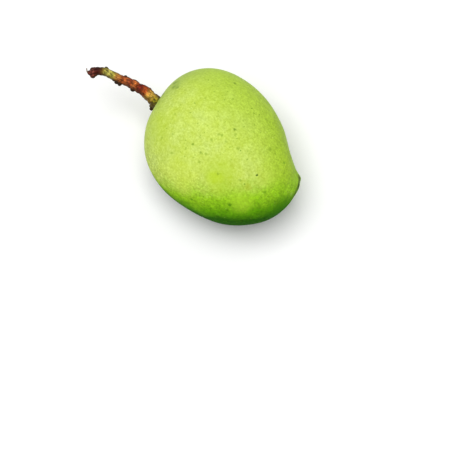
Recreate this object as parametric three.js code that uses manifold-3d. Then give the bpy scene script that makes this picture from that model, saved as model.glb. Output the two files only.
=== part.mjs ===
// An unripe green mango with the knobbly end of its stalk, lying on its broad side.
// Millimetres, +Z up. The origin is the middle of the small flat spot that the fruit rests on.
// +X points to the fruit's blossom end, +Y to the side of its beak, and the stalk leaves towards -X.
import * as THREE from "three";
import Module from "manifold-3d";
import { mergeVertices } from "three/addons/utils/BufferGeometryUtils.js";

// Fruit: an egg, a little flatter than it is wide
const FRUIT_LENGTH = 101.5;
const FRUIT_WIDTH = 80.9;
const FRUIT_THICKNESS = 70.4;
const TAPER = -0.082; // sections shrink by this share towards the blossom end
const FULLNESS = 0.111; // and both ends are this much blunter than an ellipsoid's
const LEAN = 4.2; // both ends lean this far towards the beak's side
const FRUIT_DETAIL = 13; // splits of each edge of the icosahedron that the fruit starts from
// Hills and hollows on the egg, each centred on the middle plane: its angle from +X towards +Y in degrees,
// its height, and its spread along the middle plane and across it in degrees
const BEAK = { angle: 17.8, height: 2.5, along: 10.4, across: 12.6 };
const BEAK_POINT = { angle: 22.6, height: 1.2, along: 3.0, across: 7 };
const SINUS = { angle: 41.5, height: -8.35, along: 35, across: 55 };
const STEM_HOLLOW = { angle: 190, height: -3.8, along: 17, across: 17 };
const HILLS = [BEAK, BEAK_POINT, SINUS, STEM_HOLLOW];

// Rest: the underside is flattened, and the flat spot lies a little behind the egg's middle
const REST_PRESS = 0.8;
const MIDDLE_FROM_SPOT = { x: 6.8, y: 0.6 };

// Stalk: its centreline from inside the fruit to the broken end, from the egg's middle
const STALK_ROUTE = [
  [-42, -5.3, 0],
  [-48.2, -5.0, 0],
  [-52, -4.5, 0.2],
  [-55.3, -4.3, 0.5],
  [-59.2, -4.2, 1.1],
  [-65.7, -6.2, 2.9],
  [-69.1, -7.2, 3.8],
  [-72.4, -8.8, 4.7],
  [-78.5, -11.0, 6.2],
  [-82.8, -12.6, 7.0],
  [-85.8, -14.8, 7.5],
  [-87.1, -16.8, 7.6],
  [-87.5, -18.2, 7.6],
];
const STALK_RADIUS_AT_ROOT = 3.85; // it thins quickly near the fruit and then hardly at all
const STALK_RADIUS_AT_END = 2.35;
// Swellings of the stalk: distance along the centreline, height and reach; the first is its foot on the skin
const SWELLINGS = [
  { at: 6.4, height: 0.8, reach: 2.4 },
  { at: 15.8, height: 0.35, reach: 3.2 },
  { at: 25.2, height: 0.25, reach: 1.8 },
];
const STALK_ROWS = 46;
const STALK_SIDES = 18;
const SEAT_GAP = 0.35; // air between the stalk's foot and the skin

// Knobs where flower stalks broke off: distance along the centreline, angle round it from +Y over +Z in
// degrees, the middle's distance out from the centreline, the radius and the half length along the stalk
const KNOBS = [
  { at: 7, round: 190, out: 4.7, radius: 0.7, half: 1.1 },
  { at: 8.2, round: 186, out: 3.7, radius: 0.8, half: 1.1 },
  { at: 9.3, round: 12, out: 3.3, radius: 0.9, half: 1.4 },
  { at: 11, round: 5, out: 3.0, radius: 0.9, half: 1.3 },
  { at: 13, round: 250, out: 2.7, radius: 1.2, half: 1.7 },
  { at: 16.2, round: 12, out: 2.6, radius: 1.1, half: 1.3 },
  { at: 18.8, round: 12, out: 2.2, radius: 1.1, half: 2.1 },
  { at: 19.6, round: 95, out: 2.0, radius: 1.4, half: 1.5 },
  { at: 22.4, round: 265, out: 2.0, radius: 1.3, half: 1.6 },
  { at: 24.4, round: 184, out: 2.6, radius: 1.3, half: 1.5 },
  { at: 25.2, round: 9, out: 2.1, radius: 1.3, half: 2.4 },
  { at: 27.6, round: 100, out: 1.9, radius: 1.1, half: 1.3 },
  { at: 29.6, round: 9, out: 2.0, radius: 1.1, half: 1.6 },
  { at: 31.2, round: 2, out: 2.5, radius: 1.1, half: 1.1 },
  { at: 32.3, round: 104, out: 2.1, radius: 0.9, half: 1.0 },
  { at: 32.8, round: 175, out: 3.0, radius: 1.3, half: 1.3 },
  { at: 34.9, round: 179, out: 2.7, radius: 1.3, half: 1.3 },
  { at: 36.9, round: 180, out: 2.2, radius: 0.9, half: 1.0 },
  { at: 38.8, round: 290, out: 1.7, radius: 1.1, half: 1.3 },
  { at: 43, round: 7, out: 1.9, radius: 1.1, half: 1.4 },
  { at: 43.3, round: 6, out: 2.5, radius: 0.9, half: 1.1 },
];
const KNOB_DETAIL = 2; // splits of each edge of the icosahedron that a knob starts from
// Round lobes of the broken end, from the egg's middle
const END_LOBES = [
  { centre: [-89.3, -16.9, 7.6], radius: 1.5 },
  { centre: [-88.4, -16.0, 7.6], radius: 1.6 },
  { centre: [-89.1, -19.3, 7.7], radius: 1.5 },
  { centre: [-86.7, -19.3, 7.4], radius: 1.7 },
  { centre: [-86.2, -17.9, 7.5], radius: 1.4 },
  { centre: [-88.0, -18.2, 8.8], radius: 1.5 },
  { centre: [-88.5, -17.7, 6.2], radius: 1.5 },
];

const SKIN = { color: 0xa9cc4c, roughness: 0.45, metalness: 0 };
const BARK = { color: 0x8a5a2c, roughness: 0.8, metalness: 0 };

const restHeight = FRUIT_THICKNESS / 2 - REST_PRESS;
const { degToRad } = THREE.MathUtils;
const wasm = await Module();
wasm.setup();

// A closed geometry as a solid that can be cut and joined; corners that fall together become one.
function toSolid(geometry) {
  geometry.deleteAttribute("normal");
  geometry.deleteAttribute("uv");
  const merged = mergeVertices(geometry, 1e-5);
  const vertProperties = merged.attributes.position.array;
  const triVerts = new Uint32Array(merged.index.array);
  return new wasm.Manifold(new wasm.Mesh({ numProp: 3, vertProperties, triVerts }));
}

function toMesh(name, solid, finish) {
  const { vertProperties, triVerts } = solid.getMesh();
  const geometry = new THREE.BufferGeometry();
  geometry.setAttribute("position", new THREE.BufferAttribute(vertProperties, 3));
  geometry.setIndex(new THREE.BufferAttribute(triVerts, 1));
  geometry.computeVertexNormals();
  const mesh = new THREE.Mesh(geometry, new THREE.MeshStandardMaterial(finish));
  mesh.name = name;
  return mesh;
}

// A smooth hill at one direction: its height times exp(-q), where q is the squared angle from its top,
// measured in its spread along the middle plane and its spread across it.
function hill(direction, { angle, height, along, across }) {
  const top = new THREE.Vector3(Math.cos(degToRad(angle)), Math.sin(degToRad(angle)), 0);
  const away = direction.angleTo(top);
  const sideways = direction.y * top.x - direction.x * top.y;
  const offPlane = direction.z;
  const share = sideways ** 2 / degToRad(along) ** 2 + offPlane ** 2 / degToRad(across) ** 2;
  return height * Math.exp((-(away ** 2) * share) / Math.max(sideways ** 2 + offPlane ** 2, 1e-12));
}

// The skin in one direction from the egg's middle: the egg's point, moved out by the hills and an allowance.
function skinPoint(direction, allowance) {
  const { x, y, z } = direction;
  const section = 1 + TAPER * x + FULLNESS * x * x;
  const point = new THREE.Vector3(
    (FRUIT_LENGTH / 2) * x,
    (FRUIT_WIDTH / 2) * section * y + LEAN * x * x,
    (FRUIT_THICKNESS / 2) * section * z,
  );
  const rise = HILLS.reduce((sum, each) => sum + hill(direction, each), allowance);
  return point.addScaledVector(point.clone().normalize(), rise);
}

// A unit icosphere with every corner moved to the skin.
function eggSolid(allowance) {
  const ball = new THREE.IcosahedronGeometry(1, FRUIT_DETAIL);
  const corners = ball.attributes.position;
  for (let i = 0; i < corners.count; i++) {
    const direction = new THREE.Vector3().fromBufferAttribute(corners, i).normalize();
    corners.setXYZ(i, ...skinPoint(direction, allowance).toArray());
  }
  return toSolid(ball);
}

// The fruit is the egg with all that would be under the surface cut away.
function fruitSolid() {
  const side = 2 * FRUIT_LENGTH;
  const underTable = new THREE.BoxGeometry(side, side, side).translate(0, 0, -restHeight - side / 2);
  return eggSolid(0).subtract(toSolid(underTable));
}

const route = new THREE.CatmullRomCurve3(
  STALK_ROUTE.map((point) => new THREE.Vector3(...point)),
  false,
  "catmullrom",
  0.5,
);
const routeLength = route.getLength();

// A point of the centreline with three directions there: along the stalk, level to its side, and up.
function stalkFrame(at) {
  const middle = route.getPointAt(at / routeLength);
  const along = route.getTangentAt(at / routeLength);
  const side = new THREE.Vector3().crossVectors(along, new THREE.Vector3(0, 0, 1)).normalize();
  const lift = new THREE.Vector3().crossVectors(side, along);
  return { middle, along, side, lift };
}

// The plain stalk's radius thins with the square of the way left to its end, plus its swellings.
function stalkRadius(at) {
  const left = 1 - at / routeLength;
  const plain = STALK_RADIUS_AT_END + (STALK_RADIUS_AT_ROOT - STALK_RADIUS_AT_END) * left ** 2;
  return SWELLINGS.reduce((sum, s) => sum + s.height * Math.exp(-(((at - s.at) / s.reach) ** 2)), plain);
}

// The plain stalk: rings of corners along the centreline, and a middle point that closes each end.
function plainStalk() {
  const corners = [];
  const faces = [];
  for (let row = 0; row < STALK_ROWS; row++) {
    const at = (routeLength * row) / (STALK_ROWS - 1);
    const { middle, side, lift } = stalkFrame(at);
    for (let column = 0; column < STALK_SIDES; column++) {
      const turn = (2 * Math.PI * column) / STALK_SIDES;
      const out = side.clone().multiplyScalar(Math.cos(turn)).addScaledVector(lift, Math.sin(turn));
      corners.push(...middle.clone().addScaledVector(out, stalkRadius(at)).toArray());
    }
  }
  corners.push(...route.getPoint(0).toArray(), ...route.getPoint(1).toArray());
  const rootMiddle = STALK_ROWS * STALK_SIDES;
  const lastRing = rootMiddle - STALK_SIDES;
  for (let column = 0; column < STALK_SIDES; column++) {
    const next = (column + 1) % STALK_SIDES;
    for (let ring = 0; ring < lastRing; ring += STALK_SIDES) {
      const [a, b] = [ring + column, ring + next];
      faces.push(a, b + STALK_SIDES, b, a, a + STALK_SIDES, b + STALK_SIDES);
    }
    faces.push(rootMiddle, column, next, rootMiddle + 1, lastRing + next, lastRing + column);
  }
  const geometry = new THREE.BufferGeometry();
  geometry.setAttribute("position", new THREE.Float32BufferAttribute(corners, 3));
  geometry.setIndex(faces);
  return toSolid(geometry);
}

// A knob is a ball drawn out along the stalk, with its root sunk in it.
function knobSolid({ at, round, out, radius, half }) {
  const { middle, along, side, lift } = stalkFrame(at);
  middle.addScaledVector(side, out * Math.cos(degToRad(round)));
  middle.addScaledVector(lift, out * Math.sin(degToRad(round)));
  const place = new THREE.Matrix4().makeBasis(along, lift, side).setPosition(middle);
  const ball = new THREE.IcosahedronGeometry(radius, KNOB_DETAIL);
  return toSolid(ball.scale(half / radius, 1, 1).applyMatrix4(place));
}

function lobeSolid({ centre, radius }) {
  return toSolid(new THREE.IcosahedronGeometry(radius, KNOB_DETAIL).translate(...centre));
}

// The stalk, its knobs and its end lobes grown into one body, with its foot shaped to the skin.
function stalkSolid() {
  const whole = wasm.Manifold.union([plainStalk(), ...KNOBS.map(knobSolid), ...END_LOBES.map(lobeSolid)]);
  return whole.subtract(eggSolid(SEAT_GAP));
}

const mango = new THREE.Group();
mango.position.set(MIDDLE_FROM_SPOT.x, MIDDLE_FROM_SPOT.y, restHeight);
mango.add(toMesh("fruit", fruitSolid(), SKIN));
mango.add(toMesh("stalk", stalkSolid(), BARK));

const part = new THREE.Group();
part.add(mango);

export default part;
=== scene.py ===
# A green mango lying on its broad side with the knobbly end of its stalk.
# Shapes are worked out in millimetres from the egg's middle, and go into the mesh in metres.
import math
import bpy
import numpy as np
from mathutils import Matrix, Vector


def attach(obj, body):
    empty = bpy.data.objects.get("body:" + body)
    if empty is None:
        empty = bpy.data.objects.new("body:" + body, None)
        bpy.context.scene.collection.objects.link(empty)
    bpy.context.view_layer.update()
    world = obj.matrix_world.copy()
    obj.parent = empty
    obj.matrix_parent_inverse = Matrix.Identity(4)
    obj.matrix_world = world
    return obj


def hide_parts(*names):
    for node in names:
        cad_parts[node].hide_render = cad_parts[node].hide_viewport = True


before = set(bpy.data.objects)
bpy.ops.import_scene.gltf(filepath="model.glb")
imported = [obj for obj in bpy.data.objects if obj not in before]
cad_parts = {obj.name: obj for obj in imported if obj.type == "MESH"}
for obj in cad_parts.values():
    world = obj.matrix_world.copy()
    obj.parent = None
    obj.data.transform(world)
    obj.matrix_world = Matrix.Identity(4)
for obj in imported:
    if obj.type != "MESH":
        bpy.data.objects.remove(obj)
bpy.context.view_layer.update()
mm = 0.001

fruit = {
    "length": 101.5, "width": 80.9, "thickness": 70.4,  # the egg that it starts from
    "taper": -0.082,                # sections shrink by this share towards the blossom end
    "fullness": 0.111,              # and both ends are this much blunter than an ellipsoid's
    "lean": 4.2,                    # both ends lean this far towards the beak's side
    "restPress": 0.8,               # the underside is flattened this much where it rests
    "middleFromSpot": (6.8, 0.6),   # the egg's middle, from the middle of the flat spot
    # the beak, its point, the side above it and the hollow round the stalk, all on the middle plane:
    # degrees from +X towards +Y, height, spread along the plane and across it
    "hills": [(17.8, 2.5, 10.4, 12.6), (22.6, 1.2, 3, 7), (41.5, -8.35, 35, 55), (190, -3.8, 17, 17)],
    "restRounding": 0.12,           # how softly the flat spot's edge is rounded
    "unevenness": 0.2,              # height of the gentle waves of the skin
    "waves": 14, "waveSeed": 5,
    "rows": 300, "columns": 300,
}
egg = np.array([*fruit["middleFromSpot"], fruit["thickness"] / 2 - fruit["restPress"]])

stalk = {
    # centreline from inside the fruit to the broken end
    "route": [(-42, -5.3, 0), (-48.2, -5.0, 0), (-52, -4.5, 0.2), (-55.3, -4.3, 0.5), (-59.2, -4.2, 1.1),
              (-65.7, -6.2, 2.9), (-69.1, -7.2, 3.8), (-72.4, -8.8, 4.7), (-78.5, -11.0, 6.2),
              (-82.8, -12.6, 7.0), (-85.8, -14.8, 7.5), (-87.1, -16.8, 7.6), (-87.5, -18.2, 7.6)],
    "rootRadius": 3.85, "endRadius": 2.35,
    "start": 4.6,                   # the mesh begins this far along, just under the skin
    # distance along, height, reach: the foot on the skin and two thick places
    "swellings": [(6.4, 0.8, 2.4), (15.8, 0.35, 3.2), (25.2, 0.25, 1.8)],
    # distance along, degrees round from +Y over +Z, middle's distance out, radius, half length, and how
    # dark its scar is
    "knobs": [(7, 190, 4.7, 0.7, 1.1, 1), (8.2, 186, 3.7, 0.8, 1.1, 0.35), (9.3, 12, 3.3, 0.9, 1.4, 0.5),
              (11, 5, 3.0, 0.9, 1.3, 0.6), (13, 250, 2.7, 1.2, 1.7, 0.5), (16.2, 12, 2.6, 1.1, 1.3, 1),
              (18.8, 12, 2.2, 1.1, 2.1, 0.9), (19.6, 95, 2.0, 1.4, 1.5, 0), (22.4, 265, 2.0, 1.3, 1.6, 0.6),
              (24.4, 184, 2.6, 1.3, 1.5, 1), (25.2, 9, 2.1, 1.3, 2.4, 0.5), (27.6, 100, 1.9, 1.1, 1.3, 0),
              (29.6, 9, 2.0, 1.1, 1.6, 0.9), (31.2, 2, 2.5, 1.1, 1.1, 1), (32.3, 104, 2.1, 0.9, 1.0, 0.3),
              (32.8, 175, 3.0, 1.3, 1.3, 1), (34.9, 179, 2.7, 1.3, 1.3, 1), (36.9, 180, 2.2, 0.9, 1.0, 0.9),
              (38.8, 290, 1.7, 1.1, 1.3, 0.5), (43, 7, 1.9, 1.1, 1.4, 0.6), (43.3, 6, 2.5, 0.9, 1.1, 0.9)],
    # round lobes of the broken end: middle and radius
    "lobes": [((-89.3, -16.9, 7.6), 1.5), ((-88.4, -16.0, 7.6), 1.6), ((-89.1, -19.3, 7.7), 1.5),
              ((-86.7, -19.3, 7.4), 1.7), ((-86.2, -17.9, 7.5), 1.4), ((-88.0, -18.2, 8.8), 1.5),
              ((-88.5, -17.7, 6.2), 1.5)],
    "fillet": 0.25,                 # how softly a knob grows out of the stalk
    "wrinkles": 0.1,                # height of the bark's lengthwise wrinkles
    "lumps": 0.15,                  # and of its low bumps
    "barkSeed": 11,
    "scarFade": 0.6,                # the scars and the painted highlights on the end's lobes come up over this height
    "rows": 400, "capRows": 26, "columns": 128,
}

whisker = {
    "route": [(-88.9, -19.7, 7.7), (-90.1, -20.1, 8.0), (-91.1, -19.6, 8.5), (-92.0, -18.8, 9.1)],
    "thick": 0.5, "thin": 0.26,
    "rows": 40, "columns": 12,
}


def directionGrid(u, v):
    # u turns from the stalk's end (-X) to the blossom end (+X), v goes once round the length.
    theta, phi = math.pi * u, 2 * math.pi * v
    return np.stack([-np.cos(theta) + 0 * phi, np.sin(theta) * np.cos(phi), np.sin(theta) * np.sin(phi)], -1)


def hill(n, degrees, height, along, across):
    # height times exp(-q): q is the squared angle from the hill's top, in its spread along the middle plane
    # and its spread across it.
    top = np.array([math.cos(math.radians(degrees)), math.sin(math.radians(degrees)), 0])
    away = np.arccos(np.clip(n @ top, -1, 1))
    sideways = n[..., 1] * top[0] - n[..., 0] * top[1]
    offPlane = n[..., 2]
    share = sideways**2 / math.radians(along) ** 2 + offPlane**2 / math.radians(across) ** 2
    return height * np.exp(-(away**2) * share / np.maximum(sideways**2 + offPlane**2, 1e-12))


def gentleWaves(n, count, height, seed):
    # The mean of some cosines of the direction, each with its own random heading, wave number and phase.
    rng = np.random.default_rng(seed)
    heading = rng.normal(size=(count, 3))
    heading /= np.linalg.norm(heading, axis=1, keepdims=True)
    waveNumber = rng.uniform(5, 15, count)
    phase = rng.uniform(0, 2 * math.pi, count)
    return height * np.cos((n @ heading.T) * waveNumber + phase).sum(-1) / math.sqrt(count)


def fruitSkin(u, v, f):
    # The egg is the direction scaled to its half sizes. Its sections follow 1 + taper x + fullness x
    # squared, and it leans by lean times x squared. Hills and waves move each point out, and the underside
    # is pressed flat by a rounded floor: half of z plus the root of z squared plus a little.
    n = directionGrid(u, v)
    x, y, z = n[..., 0], n[..., 1], n[..., 2]
    section = 1 + f["taper"] * x + f["fullness"] * x * x
    p = np.stack([f["length"] / 2 * x, f["width"] / 2 * section * y + f["lean"] * x * x,
                  f["thickness"] / 2 * section * z], -1)
    rise = sum(hill(n, *h) for h in f["hills"])
    rise = rise + gentleWaves(n, f["waves"], f["unevenness"], f["waveSeed"])
    p = p + p / np.linalg.norm(p, axis=-1, keepdims=True) * rise[..., None]
    height = p[..., 2] + egg[2]
    p[..., 2] = (height + np.sqrt(height**2 + f["restRounding"] ** 2)) / 2 - egg[2]
    return p


def closedTube(name, rings, startPoint, endPoint):
    # Rings of points joined by quads, going round in columns, with a fan to one point at each end.
    rows, columns = rings.shape[:2]
    index = np.arange(rows * columns).reshape(rows, columns)
    turned = np.roll(index, -1, axis=1)
    quads = np.stack([index[:-1], index[1:], turned[1:], turned[:-1]], -1).reshape(-1, 4)
    startFan = np.stack([np.full(columns, rows * columns), index[0], turned[0]], -1)
    endFan = np.stack([np.full(columns, rows * columns + 1), turned[-1], index[-1]], -1)
    points = np.concatenate([rings.reshape(-1, 3), [startPoint, endPoint]])
    mesh = bpy.data.meshes.new(name)
    faces = quads.tolist() + startFan.tolist() + endFan.tolist()
    mesh.from_pydata(((points + egg) * mm).tolist(), [], faces)
    mesh.polygons.foreach_set("use_smooth", np.ones(len(mesh.polygons), bool))
    mesh.update()
    piece = bpy.data.objects.new(name, mesh)
    bpy.context.scene.collection.objects.link(piece)
    return piece


def setAttribute(piece, name, values):
    kind = "FLOAT_VECTOR" if values.ndim == 2 else "FLOAT"
    attribute = piece.data.attributes.new(name, kind, "POINT")
    attribute.data.foreach_set("vector" if values.ndim == 2 else "value", values.astype(np.float32).ravel())


def makeFruit(f):
    u = np.linspace(0, 1, f["rows"] + 2)[:, None]
    v = np.linspace(0, 1, f["columns"], endpoint=False)[None, :]
    rings = fruitSkin(u[1:-1], v, f)
    ends = fruitSkin(u[[0, -1]], v[:, :1], f)
    return closedTube("mangoFruit", rings, ends[0, 0], ends[1, 0])


def smoothRoute(points, count, start):
    # A Catmull-Rom curve through the points, resampled at even distances from start to its end.
    p = np.array(points, float)
    p = np.concatenate([[2 * p[0] - p[1]], p, [2 * p[-1] - p[-2]]])
    t = np.linspace(0, 1, 60, endpoint=False)[:, None]
    pieces = []
    for a, b, c, d in zip(p[:-3], p[1:-2], p[2:-1], p[3:]):
        bend = (a - 2.5 * b + 2 * c - d / 2) * t**2 + (1.5 * (b - c) + (d - a) / 2) * t**3
        pieces.append(b + (c - a) / 2 * t + bend)
    line = np.concatenate([*pieces, [p[-2]]])
    distance = np.concatenate([[0], np.cumsum(np.linalg.norm(np.diff(line, axis=0), axis=1))])
    at = np.linspace(start, distance[-1], count)
    return at, np.stack([np.interp(at, distance, line[:, i]) for i in range(3)], -1)


def crossFrame(middle):
    # At each point: along the route, level to its side (+Y side), and up from it.
    along = np.gradient(middle, axis=0)
    along /= np.linalg.norm(along, axis=1, keepdims=True)
    side = np.cross(along, [0, 0, 1])
    side /= np.linalg.norm(side, axis=1, keepdims=True)
    return along, side, np.cross(side, along)


def softMax(a, b, k):
    # The larger of the two, with a fillet of size k where they meet.
    return np.maximum(a, b) + np.maximum(k - np.abs(a - b), 0) ** 2 / (4 * k)


def ballExit(start, ray, centre, axes, radii):
    # How far a ray runs before it leaves an ellipsoid: the larger root of the quadratic in the frame of the
    # ellipsoid's axes scaled to a unit ball, or nothing where it misses.
    p = ((start - centre) @ axes.T) / radii
    d = (ray @ axes.T) / radii
    a, b, c = (d * d).sum(-1), (p * d).sum(-1), (p * p).sum(-1) - 1
    inside = b * b - a * c
    return np.where(inside > 0, (-b + np.sqrt(np.maximum(inside, 0))) / a, -9)


def makeStalk(s):
    at, middle = smoothRoute(s["route"], s["rows"], s["start"])
    length = at[-1]
    along, side, lift = crossFrame(middle)
    # Past the last ring the rays fan out from the end, from square to the stalk to straight ahead.
    fan = np.concatenate([np.zeros(s["rows"]), np.linspace(0, math.pi / 2, s["capRows"] + 2)[1:-1]])
    row = np.minimum(np.arange(len(fan)), s["rows"] - 1)
    at, middle, along, side, lift = at[row], middle[row], along[row], side[row], lift[row]
    turn = np.linspace(0, 2 * math.pi, s["columns"], endpoint=False)
    out = side[:, None] * np.cos(turn)[None, :, None] + lift[:, None] * np.sin(turn)[None, :, None]
    ray = out * np.cos(fan)[:, None, None] + along[:, None] * np.sin(fan)[:, None, None]
    start = np.broadcast_to(middle[:, None], ray.shape)
    # The plain radius thins with the square of the way left, with the swellings added.
    plain = s["endRadius"] + (s["rootRadius"] - s["endRadius"]) * (1 - at / length) ** 2
    for place, height, reach in s["swellings"]:
        plain = plain + height * np.exp(-(((at - place) / reach) ** 2))
    plain = np.repeat(plain[:, None], s["columns"], axis=1)
    # Wrinkles are the sum of some waves round the stalk that drift along it, and lumps the sum of some that
    # run along it and turn a few times round.
    rng = np.random.default_rng(s["barkSeed"])
    wrinkle, lump = 0, 0
    for count in (5, 7, 9, 12, 16, 21):
        drift, phase = rng.uniform(-0.5, 0.5), rng.uniform(0, 6.3)
        wrinkle = wrinkle + np.cos(count * turn[None, :] + drift * at[:, None] + phase) / math.sqrt(count)
    for count in (0, 1, 2, 3, 4):
        waveNumber, phase = rng.uniform(0.8, 2.6), rng.uniform(0, 6.3)
        lump = lump + np.cos(waveNumber * at[:, None] + count * turn[None, :] + phase) / math.sqrt(5)
    reach = plain + s["wrinkles"] * wrinkle + s["lumps"] * lump
    bare = reach
    scar = np.zeros(reach.shape)
    for place, degrees, outBy, radius, half, darkness in s["knobs"]:
        i = int(np.abs(at - place).argmin())
        angle = math.radians(degrees)
        centre = middle[i] + outBy * (side[i] * math.cos(angle) + lift[i] * math.sin(angle))
        axes = np.stack([along[i], side[i], lift[i]])
        exitDistance = ballExit(start, ray, centre, axes, np.array([half, radius, radius]))
        reach = softMax(reach, exitDistance, s["fillet"])
        standsOut = (exitDistance - bare + s["fillet"]) / s["scarFade"]
        scar = np.maximum(scar, darkness * np.clip(standsOut, 0, 1))
    lobeExits = np.stack([ballExit(start, ray, np.array(centre), np.eye(3), np.full(3, radius))
                          for centre, radius in s["lobes"]])
    for exitDistance in lobeExits:
        reach = softMax(reach, exitDistance, s["fillet"] * 0.6)
    # where the lobes' highlight is painted, 1 on the round of a lobe and 0 in the gaps: how far the
    # outermost one stands above the next, or above half a millimetre under the plain stalk
    lobeExits = np.sort(lobeExits, axis=0)
    crown = np.clip((lobeExits[-1] - np.maximum(lobeExits[-2], bare - 0.5)) / s["scarFade"], 0, 1)
    rings = start + ray * reach[..., None]
    tip = middle[-1] + along[-1] * reach[-1].mean()
    piece = closedTube("mangoStalk", rings[:, ::-1], middle[0], tip)
    # The stalk as if it were straight: millimetres along, and the two cross directions.
    across = np.cos(fan)[:, None] * reach
    straight = np.stack([np.repeat(at[:, None], s["columns"], 1) + np.sin(fan)[:, None] * reach,
                         np.cos(turn)[None, :] * across, np.sin(turn)[None, :] * across], -1)
    ends = np.array([[at[0], 0, 0], [length + reach[-1].mean(), 0, 0]])
    setAttribute(piece, "straight", np.concatenate([straight[:, ::-1].reshape(-1, 3), ends]) * mm)
    setAttribute(piece, "scar", np.concatenate([scar[:, ::-1].ravel(), [0, 0]]))
    setAttribute(piece, "crown", np.concatenate([crown[:, ::-1].ravel(), [0, 0]]))
    return piece


def makeWhisker(w):
    # A thin dry thread: its radius falls evenly from thick to thin.
    middle = smoothRoute(w["route"], w["rows"], 0)[1]
    side, lift = crossFrame(middle)[1:]
    turn = np.linspace(0, 2 * math.pi, w["columns"], endpoint=False)
    radius = np.linspace(w["thick"], w["thin"], w["rows"])[:, None, None]
    out = side[:, None] * np.cos(turn)[None, :, None] - lift[:, None] * np.sin(turn)[None, :, None]
    return closedTube("mangoStalkWhisker", middle[:, None] + radius * out, middle[0], middle[-1])


def colour(hexCode):
    # sRGB hex to linear: the curve's straight foot below 0.04045, its power of 2.4 above.
    value = np.array([int(hexCode[i:i + 2], 16) for i in (1, 3, 5)]) / 255
    linear = np.where(value <= 0.04045, value / 12.92, ((value + 0.055) / 1.055) ** 2.4)
    return (*linear.tolist(), 1)


def addNode(tree, kind, inputs=None, stops=None, **settings):
    # One node with its settings. Inputs are values or other nodes' outputs, and stops are a ramp's places
    # and colours.
    node = tree.nodes.new("ShaderNode" + kind)
    for key, value in settings.items():
        setattr(node, key, value)
    for key, value in (inputs or {}).items():
        if isinstance(value, bpy.types.NodeSocket):
            tree.links.new(value, node.inputs[key])
        else:
            node.inputs[key].default_value = value
    for i, (place, hexCode) in enumerate(stops or []):
        element = node.color_ramp.elements[i] if i < 2 else node.color_ramp.elements.new(place)
        element.position = place
        element.color = colour(hexCode)
    return node


def newMaterial(name):
    material = bpy.data.materials.new(name)
    material.use_nodes = True
    tree = material.node_tree
    tree.nodes.clear()
    return material, tree


skinLook = {
    "pale": "#A9C03D", "wax": "#E6EBCB",    # the skin that faced the sun, and the bloom of wax on it
    # it turns greener towards the beak's side and its far side, and deepens towards its low front side and
    # its underside, a darker green that is partly its own and partly painted shade, darkest at the low rim:
    # the way, from and to in mm from the egg's middle, the colour, and how many mm the edge comes and goes
    "steps": [((0.1, 1.0, 0.0), -10, 34, "#A4C23C", 0), ((0.74, 0.67, 0.0), 16, 36, "#9ABB2C", 5),
              ((0.58, -0.54, -0.61), 3, 18, "#88B61C", 7), ((0.58, -0.54, -0.61), 15, 28, "#548E04", 5),
              ((0.58, -0.54, -0.61), 26, 33, "#225600", 3), ((0.1, -0.55, -0.83), 17, 29, "#225600", 3)],
    "speckle": 1.8,        # mm, how far the edges of those steps break up into specks
    # marbling: mm across, how much it darkens and brightens, how much wax lies where it is bright, and how
    # much stronger it is where it is lively: the way, from and to in mm, share
    "marbling": [
        {"size": 1.2, "darkest": 0.86, "brightest": 1.11, "wax": 0.06, "livelier": 0.15},
        {"size": 3.2, "darkest": 0.94, "brightest": 1.05, "wax": 0.05, "livelier": 0.09},
        {"size": 9, "darkest": 1.0, "brightest": 1.0, "wax": 0.07, "livelier": 0},
    ],
    "lively": [((0.3, -0.55, -0.78), -8, 6, 1.0), ((0.5, 0.87, 0.0), 2, 30, 0.45)],
    "noiseSpan": (0.3, 0.7),            # where nearly all of a noise's values lie
    "waxSpan": (0.35, 0.68),            # the part of that over which the wax comes up
    "yellow": "#B8C93C", "yellowShare": 0.2,    # broad yellower patches
    "yellowSpan": (0.68, 0.48),         # from none to full, over the coarsest noise
    # dots: spacing and radius in mm, colour, strength; the first are the pale breathing pores
    "dots": [(2.3, 0.30, "#DCE98E", 0.3), (1.5, 0.28, "#6A9210", 0.6), (2.7, 0.42, "#56800A", 0.85)],
    "dotFade": (1.2, 0.5),              # a dot fades in between these shares of its radius
    "ragged": 0.9,                      # mm, how ragged the edges of all marks are
    "rough": (0.42, 0.52),              # satin: the roughness with little wax and with most wax
    # the low side lost its polish: the way, from and to in mm, and how much rougher it is there
    "dull": ((0.4, -0.55, -0.73), 3, 18, 0.45),
    "bump": 0.25, "bumpHeight": 0.12,   # share, and mm between the fine grain's pits and tops
}
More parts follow.
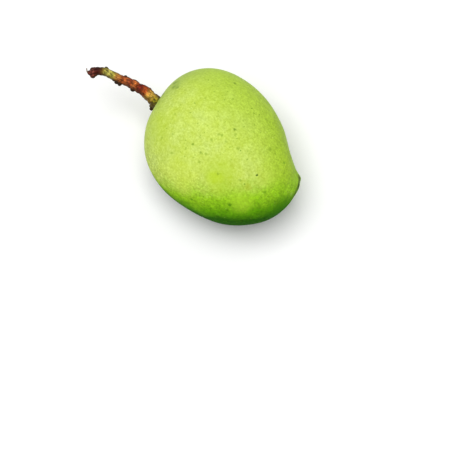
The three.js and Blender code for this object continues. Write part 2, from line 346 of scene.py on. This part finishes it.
# Marks on the skin: place from the egg's middle, radius of the core and of the edge, colour, strength
blemishes = [
    ((-49.5, -5.0, 0.0), 4.5, 8.5, "#6E9628", 0.6),        # darker skin round the stalk
    # painted shade on the skin just beside the stalk's foot
    ((-46.0, -4.3, 13.6), 1.5, 5.5, "#7FA834", 0.65),
    ((-46.0, -4.0, 14.6), 0.6, 1.5, "#22400C", 0.9),       # painted shade in the crevice above the stalk
    ((-46.0, -3.0, 14.9), 0.6, 1.5, "#22400C", 0.9),
    ((-45.7, -2.4, 16.2), 0.5, 1.4, "#22400C", 0.85),
    ((-45.0, -2.3, 17.6), 0.5, 1.3, "#3A5A18", 0.7),
    ((-44.1, 6.2, 19.7), 0.5, 2.2, "#4E6A18", 0.85),       # darker marks at the stalk's end
    ((-42.0, 3.2, 22.5), 0.4, 2.0, "#567218", 0.75),
    ((-43.2, 7.8, 20.8), 0.4, 2.0, "#5E7A20", 0.5),
    ((-41.3, 4.5, 23.6), 1.0, 4.0, "#728C30", 0.45),
    ((-39.4, 3.7, 25.1), 0.4, 1.6, "#5E7A20", 0.6),
    ((-4.0, -33.0, 21.0), 4.0, 18.0, "#BED248", 0.35),     # painted light: a paler patch on the thick end's low side
    ((-33.0, -20.0, 22.0), 3.0, 16.0, "#A4BE38", 0.3),     # painted shade: a greener, darker patch on the thick end's left side
    ((-41.0, 14.0, 20.0), 3.0, 16.0, "#90A848", 0.3),      # a greener, duller patch on its far side
    ((16.0, -20.0, 28.0), 3.0, 15.0, "#A0BC26", 0.5),      # greener patch round the yellow one
    ((12.5, -22.9, 26.9), 1.0, 6.0, "#A8C414", 0.5),       # yellow patch with its dot
    ((16.0, -20.0, 27.5), 0.5, 4.0, "#A8C414", 0.35),
    ((43.3, 17.0, 4.1), 0.5, 2.2, "#5C6A2C", 0.65),        # dry brown edge of the beak, from its point on, partly painted shade along its underside
    ((44.4, 16.5, 3.1), 0.8, 2.3, "#4A5420", 0.8),
    ((45.3, 15.2, 3.3), 0.6, 2.0, "#5A6C28", 0.6),
    ((46.0, 13.9, 3.4), 0.6, 2.0, "#4C5E18", 0.65),
    ((46.7, 12.7, 3.2), 0.7, 2.2, "#2C3C06", 0.85),
    ((47.2, 11.2, 3.0), 0.6, 2.0, "#44561A", 0.7),
    ((47.6, 9.9, 3.0), 0.6, 1.9, "#5A6C2C", 0.65),
    ((47.9, 8.6, 2.6), 0.6, 1.9, "#4C5C20", 0.7),
    ((48.2, 7.3, 2.1), 0.6, 1.9, "#44541C", 0.75),
    ((48.5, 6.0, 1.9), 0.6, 1.9, "#4C6020", 0.65),
    ((47.6, 5.2, 7.4), 0.4, 1.8, "#A9CF58", 0.5),
    ((47.5, -4.5, 3.5), 3.0, 13.0, "#2E6A00", 0.7),        # deep green just below the beak, the low side's darker green, partly painted shade
    ((-48.0, 2.0, 8.0), 9.0, 27.0, "#8DA64C", 0.5),        # duller skin all round the stalk's end
    ((32.1, -21.2, 18.2), 2.0, 10.0, "#AACE34", 0.4),      # paler patch low on its front side
]
# Dots that stand out in the picture: pixel, radius of the core and of the edge in mm, colour,
# strength
seenDots = [
    ((235, 83.3), 0.3, 1.4, "#5A7A18", 0.8),
    ((234.5, 129.2), 0.3, 1.1, "#5E7E14", 0.8),
    ((192.7, 144.4), 0.3, 1.0, "#6A8A1C", 0.8),
    ((256.8, 175.3), 0.3, 0.9, "#3E5A10", 0.9),
    ((171.8, 153), 0.3, 1.2, "#7E9A28", 0.65),
    ((219, 134.5), 0.3, 1.2, "#7E9A28", 0.6),
    ((222, 135.3), 0.3, 1.2, "#7E9A28", 0.7),
    ((211.5, 139.5), 0.3, 1.2, "#7E9A28", 0.65),
    ((226, 141.5), 0.3, 1.1, "#7E9A28", 0.5),
    ((235.5, 134.5), 0.2, 1.4, "#7E9A28", 0.6),
    ((238, 148.3), 0.3, 1.4, "#7E9A28", 0.6),
    ((186, 148), 0.3, 1.1, "#7E9A28", 0.55),
    ((200.5, 152.5), 0.3, 1.0, "#6E8A20", 0.7),
    ((206, 154), 0.3, 1.2, "#7E9A28", 0.7),
    ((199, 162), 0.3, 1.1, "#7E9A28", 0.55),
    ((161.8, 138), 0.3, 1.1, "#7E9A28", 0.6),
    ((175, 114), 0.3, 1.0, "#7E9A28", 0.5),
    ((218, 173.8), 0.3, 1.1, "#6E8A10", 0.6),              # in the yellow patch
    ((232.5, 165.5), 0.6, 2.4, "#98AA1C", 0.4),
    ((240.3, 180.4), 0.3, 1.2, "#7E9A28", 0.6),
    ((248, 187.2), 0.5, 3.0, "#8E9A14", 0.4),
    ((265, 192.3), 0.3, 1.3, "#5A8A10", 0.6),
    ((270, 149), 0.4, 1.5, "#6A8A1C", 0.5),
    ((284, 162.7), 0.3, 1.3, "#5A8A10", 0.6),
    ((191.6, 199.3), 0.3, 1.3, "#3E7A06", 0.7),
    ((229.5, 205), 0.3, 1.5, "#2E6400", 0.7),
]


def placesOnSkin(dots, f, w):
    # Each dot's pixel becomes a place: the grid point on the skin's near side that is seen nearest to it
    # gives the depth, and the pixel's own ray from the camera is followed to that depth.
    skin = fruitSkin(np.linspace(0, 1, f["rows"])[:, None], np.linspace(0, 1, f["columns"])[None, :], f)
    spot, right, up, ahead, focal = aimedCamera(w)
    offset = skin.reshape(-1, 3) - spot
    depth = offset @ ahead
    seenX = w["pixels"] / 2 + focal * (offset @ right) / depth
    seenY = w["pixels"] / 2 - focal * (offset @ up) / depth
    places = []
    for (x, y), *look in dots:
        missed = np.hypot(seenX - x, seenY - y) + np.where(depth < w["distance"], 0, w["pixels"])
        ray = ahead + (x - w["pixels"] / 2) / focal * right + (w["pixels"] / 2 - y) / focal * up
        places.append((tuple(spot + ray * depth[missed.argmin()]), *look))
    return places


def skinMaterial(k, marks):
    # Waxed skin of an unripe mango: satin, marbled and dotted; greener, duller and in painted shade towards
    # its low side.
    material, tree = newMaterial("waxedMangoSkin")
    place = addNode(tree, "TexCoord").outputs["Object"]

    def farAlong(point, side, start, end):
        # 0 to 1 as the point goes from start to end, in mm that way from the egg's middle
        offset = float(egg @ np.array(side))
        far = addNode(tree, "VectorMath", {0: point, 1: side}, operation="DOT_PRODUCT").outputs["Value"]
        return addNode(tree, "MapRange", {0: far, 1: (start + offset) * mm, 2: (end + offset) * mm},
                       interpolation_type="SMOOTHSTEP").outputs[0]

    def shifted(point, noise, most):
        # the point moved by up to about that many mm, each axis by one channel of the noise
        even = addNode(tree, "VectorMath", {0: noise, 1: (0.5, 0.5, 0.5)}, operation="SUBTRACT").outputs[0]
        return addNode(tree, "VectorMath", {0: even, 1: (most * 2 * mm,) * 3, 2: point},
                       operation="MULTIPLY_ADD").outputs[0]

    def mixed(share, under, over):
        return addNode(tree, "Mix", {0: share, 6: under, 7: over}, data_type="RGBA").outputs[2]

    def ranged(value, span, low, high):
        # low to high as the value goes over the span
        return addNode(tree, "MapRange", {0: value, 1: span[0], 2: span[1], 3: low, 4: high}).outputs[0]

    noises = []
    for m in k["marbling"]:
        noises.append(addNode(tree, "TexNoise", {"Vector": place, "Scale": 1 / (m["size"] * mm),
                                                 "Detail": 2.5, "Roughness": 0.6}).outputs)
    grain, blotch = noises[0], noises[2]
    yellow = ranged(blotch["Fac"], k["yellowSpan"], 0, k["yellowShare"])
    tone = mixed(yellow, colour(k["pale"]), colour(k["yellow"]))
    for noise, m in zip(noises, k["marbling"]):
        tone = mixed(ranged(noise["Fac"], k["waxSpan"], 0, m["wax"]), tone, colour(k["wax"]))
    speckled = shifted(place, grain["Color"], k["speckle"])
    # greener steps first, then the low side's darker green, partly its own and partly painted shade
    for side, start, end, code, uneven in k["steps"]:
        edge = shifted(speckled, blotch["Color"], uneven)
        tone = mixed(farAlong(edge, side, start, end), tone, colour(code))
    lively = 0
    for side, start, end, share in k["lively"]:
        lively = addNode(tree, "Math", {0: farAlong(place, side, start, end), 1: share, 2: lively},
                         operation="MULTIPLY_ADD").outputs[0]
    for noise, m in zip(noises, k["marbling"]):
        scale = ranged(noise["Fac"], k["noiseSpan"], m["darkest"], m["brightest"])
        more = ranged(noise["Fac"], k["noiseSpan"], -m["livelier"], m["livelier"])
        scale = addNode(tree, "Math", {0: more, 1: lively, 2: scale}, operation="MULTIPLY_ADD").outputs[0]
        tone = addNode(tree, "VectorMath", {0: tone, "Scale": scale}, operation="SCALE").outputs["Vector"]
    # every mark is read at a place that is shifted a little, so that none is round
    ragged = shifted(place, grain["Color"], k["ragged"])
    for spacing, radius, mark, strength in k["dots"]:
        cell = addNode(tree, "TexVoronoi", {"Vector": ragged, "Scale": 1 / (spacing * mm)})
        fade = [share * radius / spacing for share in k["dotFade"]]
        dot = ranged(cell.outputs["Distance"], fade, 0, strength)
        chance = addNode(tree, "SeparateColor", {0: cell.outputs["Color"]}).outputs[0]
        dot = addNode(tree, "Math", {0: dot, 1: chance}, operation="MULTIPLY").outputs[0]
        tone = mixed(dot, tone, colour(mark))
    for centre, core, edge, mark, strength in marks:
        away = addNode(tree, "VectorMath", {0: ragged, 1: tuple((np.array(centre) + egg) * mm)},
                       operation="DISTANCE").outputs["Value"]
        spot = addNode(tree, "MapRange", {0: away, 1: edge * mm, 2: core * mm, 4: strength},
                       interpolation_type="SMOOTHSTEP").outputs[0]
        tone = mixed(spot, tone, colour(mark))
    rough = ranged(blotch["Fac"], k["noiseSpan"], *k["rough"])
    side, start, end, more = k["dull"]
    rough = addNode(tree, "Math", {0: farAlong(place, side, start, end), 1: more, 2: rough},
                    operation="MULTIPLY_ADD").outputs[0]
    bump = addNode(tree, "Bump", {"Height": grain["Fac"], "Strength": k["bump"],
                                  "Distance": k["bumpHeight"] * mm})
    shader = addNode(tree, "BsdfPrincipled", {
        "Base Color": tone, "Roughness": rough, "Normal": bump.outputs["Normal"], "IOR": 1.45,
        "Specular IOR Level": 0.06})
    addNode(tree, "OutputMaterial", {"Surface": shader.outputs["BSDF"]})
    return material


barkLook = {
    # millimetres along the stalk and the colour there
    "stops": [(6.6, "#4E4A08"), (8.4, "#6C640C"), (10.0, "#8C741C"), (12.0, "#AC8A34"), (14.4, "#B08436"),
              (15.8, "#A46028"), (17.4, "#923E14"), (18.8, "#883C14"), (20.4, "#661C0A"), (21.8, "#5E1A06"),
              (23.2, "#8E3E16"), (25.0, "#A05824"), (27.6, "#863818"), (29.6, "#86441C"), (33.0, "#864018"),
              (36.4, "#96682C"), (38.4, "#8E8430"), (41.0, "#948C42"), (44.0, "#867C32"), (45.4, "#563C14"),
              (46.6, "#3C1608"), (48.0, "#300A04"), (52.0, "#300802")],
    "scar": "#281808",
    # painted shade, dark along both edges: from and to in mm sideways, strength
    "paintedEdgeShade": "#34200C", "edges": [(-1.4, -2.4, 0.7), (1.7, 2.5, 0.55)],
    "crown": "#8C4A3C", "crownShare": 0.4,    # painted highlight on the tops of the end's lobes
    # painted shade: lighter along its top, which faces the light, and darker down its sides: the way, from
    # and to in mm from its middle, darkest
    "shaded": (0, -0.26, 0.97), "shadedSpan": (0.2, 1.9), "shadedTo": 0.4,
    # mm across the bark's grain, and of its lighter and darker patches, with the darkest and brightest
    "grain": 0.8, "grainTo": (0.45, 1.55),
    "patch": 1.7, "patchTo": (0.55, 1.6),
    "noiseSpan": (0.35, 0.65),                # where most of a noise's values lie
    "stretch": 0.3,                           # the grain's width as a share of its length along the stalk
    "wander": 4,                              # mm, how far the colours' edges come and go
    "bump": 0.7, "bumpHeight": 0.4,           # share, and mm between the grain's cracks and ridges
}


def barkMaterial(k):
    # Young woody bark: dull, grained along its length, patchy, its colour changing along the stalk.
    material, tree = newMaterial("mangoStalkBark")
    straight = addNode(tree, "Attribute", attribute_name="straight").outputs["Vector"]
    scar = addNode(tree, "Attribute", attribute_name="scar").outputs["Fac"]
    crown = addNode(tree, "Attribute", attribute_name="crown").outputs["Fac"]
    stretched = addNode(tree, "Mapping", {"Vector": straight, "Scale": (k["stretch"], 1, 1)}).outputs[0]
    grain = addNode(tree, "TexNoise", {"Vector": stretched, "Scale": 1 / (k["grain"] * mm),
                                       "Detail": 3.0}).outputs["Fac"]
    patch = addNode(tree, "TexNoise", {"Vector": straight, "Scale": 1 / (k["patch"] * mm),
                                       "Detail": 2.0}).outputs["Fac"]
    first, last = k["stops"][0][0], k["stops"][-1][0]
    parts = addNode(tree, "SeparateXYZ", {0: straight}).outputs
    wandering = addNode(tree, "Math", {0: patch, 1: k["wander"] * mm, 2: parts["X"]},
                        operation="MULTIPLY_ADD").outputs[0]
    ends = [(end + k["wander"] / 2) * mm for end in (first, last)]
    share = addNode(tree, "MapRange", {0: wandering, 1: ends[0], 2: ends[1]}).outputs[0]
    stops = [((place - first) / (last - first), code) for place, code in k["stops"]]
    tone = addNode(tree, "ValToRGB", {0: share}, stops=[stops[0], stops[-1], *stops[1:-1]]).outputs["Color"]
    # painted highlight on the tops of the end's lobes
    lobeHighlight = addNode(tree, "Math", {0: crown, 1: k["crownShare"]}, operation="MULTIPLY").outputs[0]
    tone = addNode(tree, "Mix", {0: lobeHighlight, 6: tone, 7: colour(k["crown"])}, data_type="RGBA").outputs[2]
    # painted shade: darker down the stalk's sides than along its lit top
    topside = addNode(tree, "VectorMath", {0: straight, 1: k["shaded"]}, operation="DOT_PRODUCT").outputs[1]
    sides = [way * mm for way in k["shadedSpan"]]
    for share, span, low, high in ((grain, k["noiseSpan"], *k["grainTo"]),
                                   (patch, k["noiseSpan"], *k["patchTo"]),
                                   (topside, sides, k["shadedTo"], 1.0)):
        scale = addNode(tree, "MapRange", {0: share, 1: span[0], 2: span[1], 3: low, 4: high}).outputs[0]
        tone = addNode(tree, "VectorMath", {0: tone, "Scale": scale}, operation="SCALE").outputs["Vector"]
    # painted shade along both edges of the stalk
    for start, end, strength in k["edges"]:
        edge = addNode(tree, "MapRange", {0: parts["Y"], 1: start * mm, 2: end * mm, 4: strength}).outputs[0]
        tone = addNode(tree, "Mix", {0: edge, 6: tone, 7: colour(k["paintedEdgeShade"])},
                       data_type="RGBA").outputs[2]
    tone = addNode(tree, "Mix", {0: scar, 6: tone, 7: colour(k["scar"])}, data_type="RGBA").outputs[2]
    bump = addNode(tree, "Bump", {"Height": grain, "Strength": k["bump"],
                                  "Distance": k["bumpHeight"] * mm}).outputs["Normal"]
    shader = addNode(tree, "BsdfPrincipled", {"Base Color": tone, "Roughness": 0.5, "Normal": bump,
                                              "Specular IOR Level": 0.1})
    addNode(tree, "OutputMaterial", {"Surface": shader.outputs["BSDF"]})
    return material


def plainMaterial(name, hexCode, roughness):
    material, tree = newMaterial(name)
    shader = addNode(tree, "BsdfPrincipled", {"Base Color": colour(hexCode), "Roughness": roughness})
    addNode(tree, "OutputMaterial", {"Surface": shader.outputs["BSDF"]})
    return material


def dressPiece(piece, material, node=None):
    piece.data.materials.append(material)
    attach(piece, "root")
    if node:
        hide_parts(node)


view = {
    "lens": 100, "sensor": 36, "pixels": 450,
    "distance": 729,                 # mm from the camera to the egg's middle
    "azimuth": 42.66, "elevation": 70,
    "eggPixel": (223.8, 151.3),      # where the picture has the egg's middle
}
light = {
    "keyPower": 16, "keySize": 0.9, "keyDistance": 1.3,
    "keyFrom": (-0.12, 0.28, 0.95),  # picture right, picture up, towards the camera
    "world": 0.58,
    "floor": "#E8E8E8", "floorHalf": 6,    # its paint, and half its width in metres
}


def cameraAxes(w):
    # Right, up and back of a level camera that looks at the egg's middle from its azimuth and elevation.
    az, el = math.radians(w["azimuth"]), math.radians(w["elevation"])
    right = Vector((math.cos(az), math.sin(az), 0))
    back = Vector((math.sin(az) * math.cos(el), -math.cos(az) * math.cos(el), math.sin(el)))
    return right, back.cross(right), back


def aimedCamera(w):
    # The camera is turned a little so that the egg's middle falls on its pixel. Its place from the egg's
    # middle in mm, its right, up and ahead, and its focal length in pixels.
    right, up, back = cameraAxes(w)
    focal = w["lens"] / w["sensor"] * w["pixels"]
    offX = (w["eggPixel"][0] - w["pixels"] / 2) / focal
    offY = (w["pixels"] / 2 - w["eggPixel"][1]) / focal
    ahead = (-back - offX * right - offY * up).normalized()
    turnedRight = ahead.cross(up).normalized()
    turnedUp = turnedRight.cross(ahead)
    return [np.array(part) for part in (back * w["distance"], turnedRight, turnedUp, ahead)] + [focal]


def makeCamera(w):
    spot, right, up, ahead, focal = aimedCamera(w)
    data = bpy.data.cameras.new("pictureCamera")
    data.lens, data.sensor_width = w["lens"], w["sensor"]
    data.clip_start, data.clip_end = 0.05, 20
    camera = bpy.data.objects.new("pictureCamera", data)
    camera.matrix_world = Matrix([(*row, 0) for row in zip(right, up, -ahead)] + [(0, 0, 0, 1)])
    camera.location = Vector((egg + spot) * mm)
    bpy.context.scene.collection.objects.link(camera)
    bpy.context.scene.camera = camera


def makeStage(w, studio):
    floorMesh = bpy.data.meshes.new("paleFloor")
    half = studio["floorHalf"]
    corners = [(-half, -half, 0), (half, -half, 0), (half, half, 0), (-half, half, 0)]
    floorMesh.from_pydata(corners, [], [(0, 1, 2, 3)])
    floor = bpy.data.objects.new("paleFloor", floorMesh)
    floor.data.materials.append(plainMaterial("paleFloorPaint", studio["floor"], 0.9))
    bpy.context.scene.collection.objects.link(floor)
    world = bpy.data.worlds.new("softStudio")
    bpy.context.scene.world = world
    world.use_nodes = True
    world.node_tree.nodes["Background"].inputs["Color"].default_value = (1, 1, 1, 1)
    world.node_tree.nodes["Background"].inputs["Strength"].default_value = studio["world"]
    right, up, back = cameraAxes(w)
    data = bpy.data.lights.new("keyLight", "AREA")
    data.energy, data.size = studio["keyPower"], studio["keySize"]
    key = bpy.data.objects.new("keyLight", data)
    fromX, fromY, fromZ = studio["keyFrom"]
    towards = (right * fromX + up * fromY + back * fromZ).normalized()
    key.location = Vector(egg * mm) + towards * studio["keyDistance"]
    key.rotation_euler = towards.to_track_quat("Z", "Y").to_euler()
    bpy.context.scene.collection.objects.link(key)


makeCamera(view)
makeStage(view, light)
bpy.context.scene.view_settings.view_transform = "Standard"
print("stage: camera, floor and lights are in place")

marks = blemishes + placesOnSkin(seenDots, fruit, view)
dressPiece(makeFruit(fruit), skinMaterial(skinLook, marks), "fruit")
print("fruit: skin surface made")
dressPiece(makeStalk(stalk), barkMaterial(barkLook), "stalk")
dressPiece(makeWhisker(whisker), plainMaterial("dryFibre", "#6A5238", 0.8))
print("stalk: bark, knobs and end lobes made")
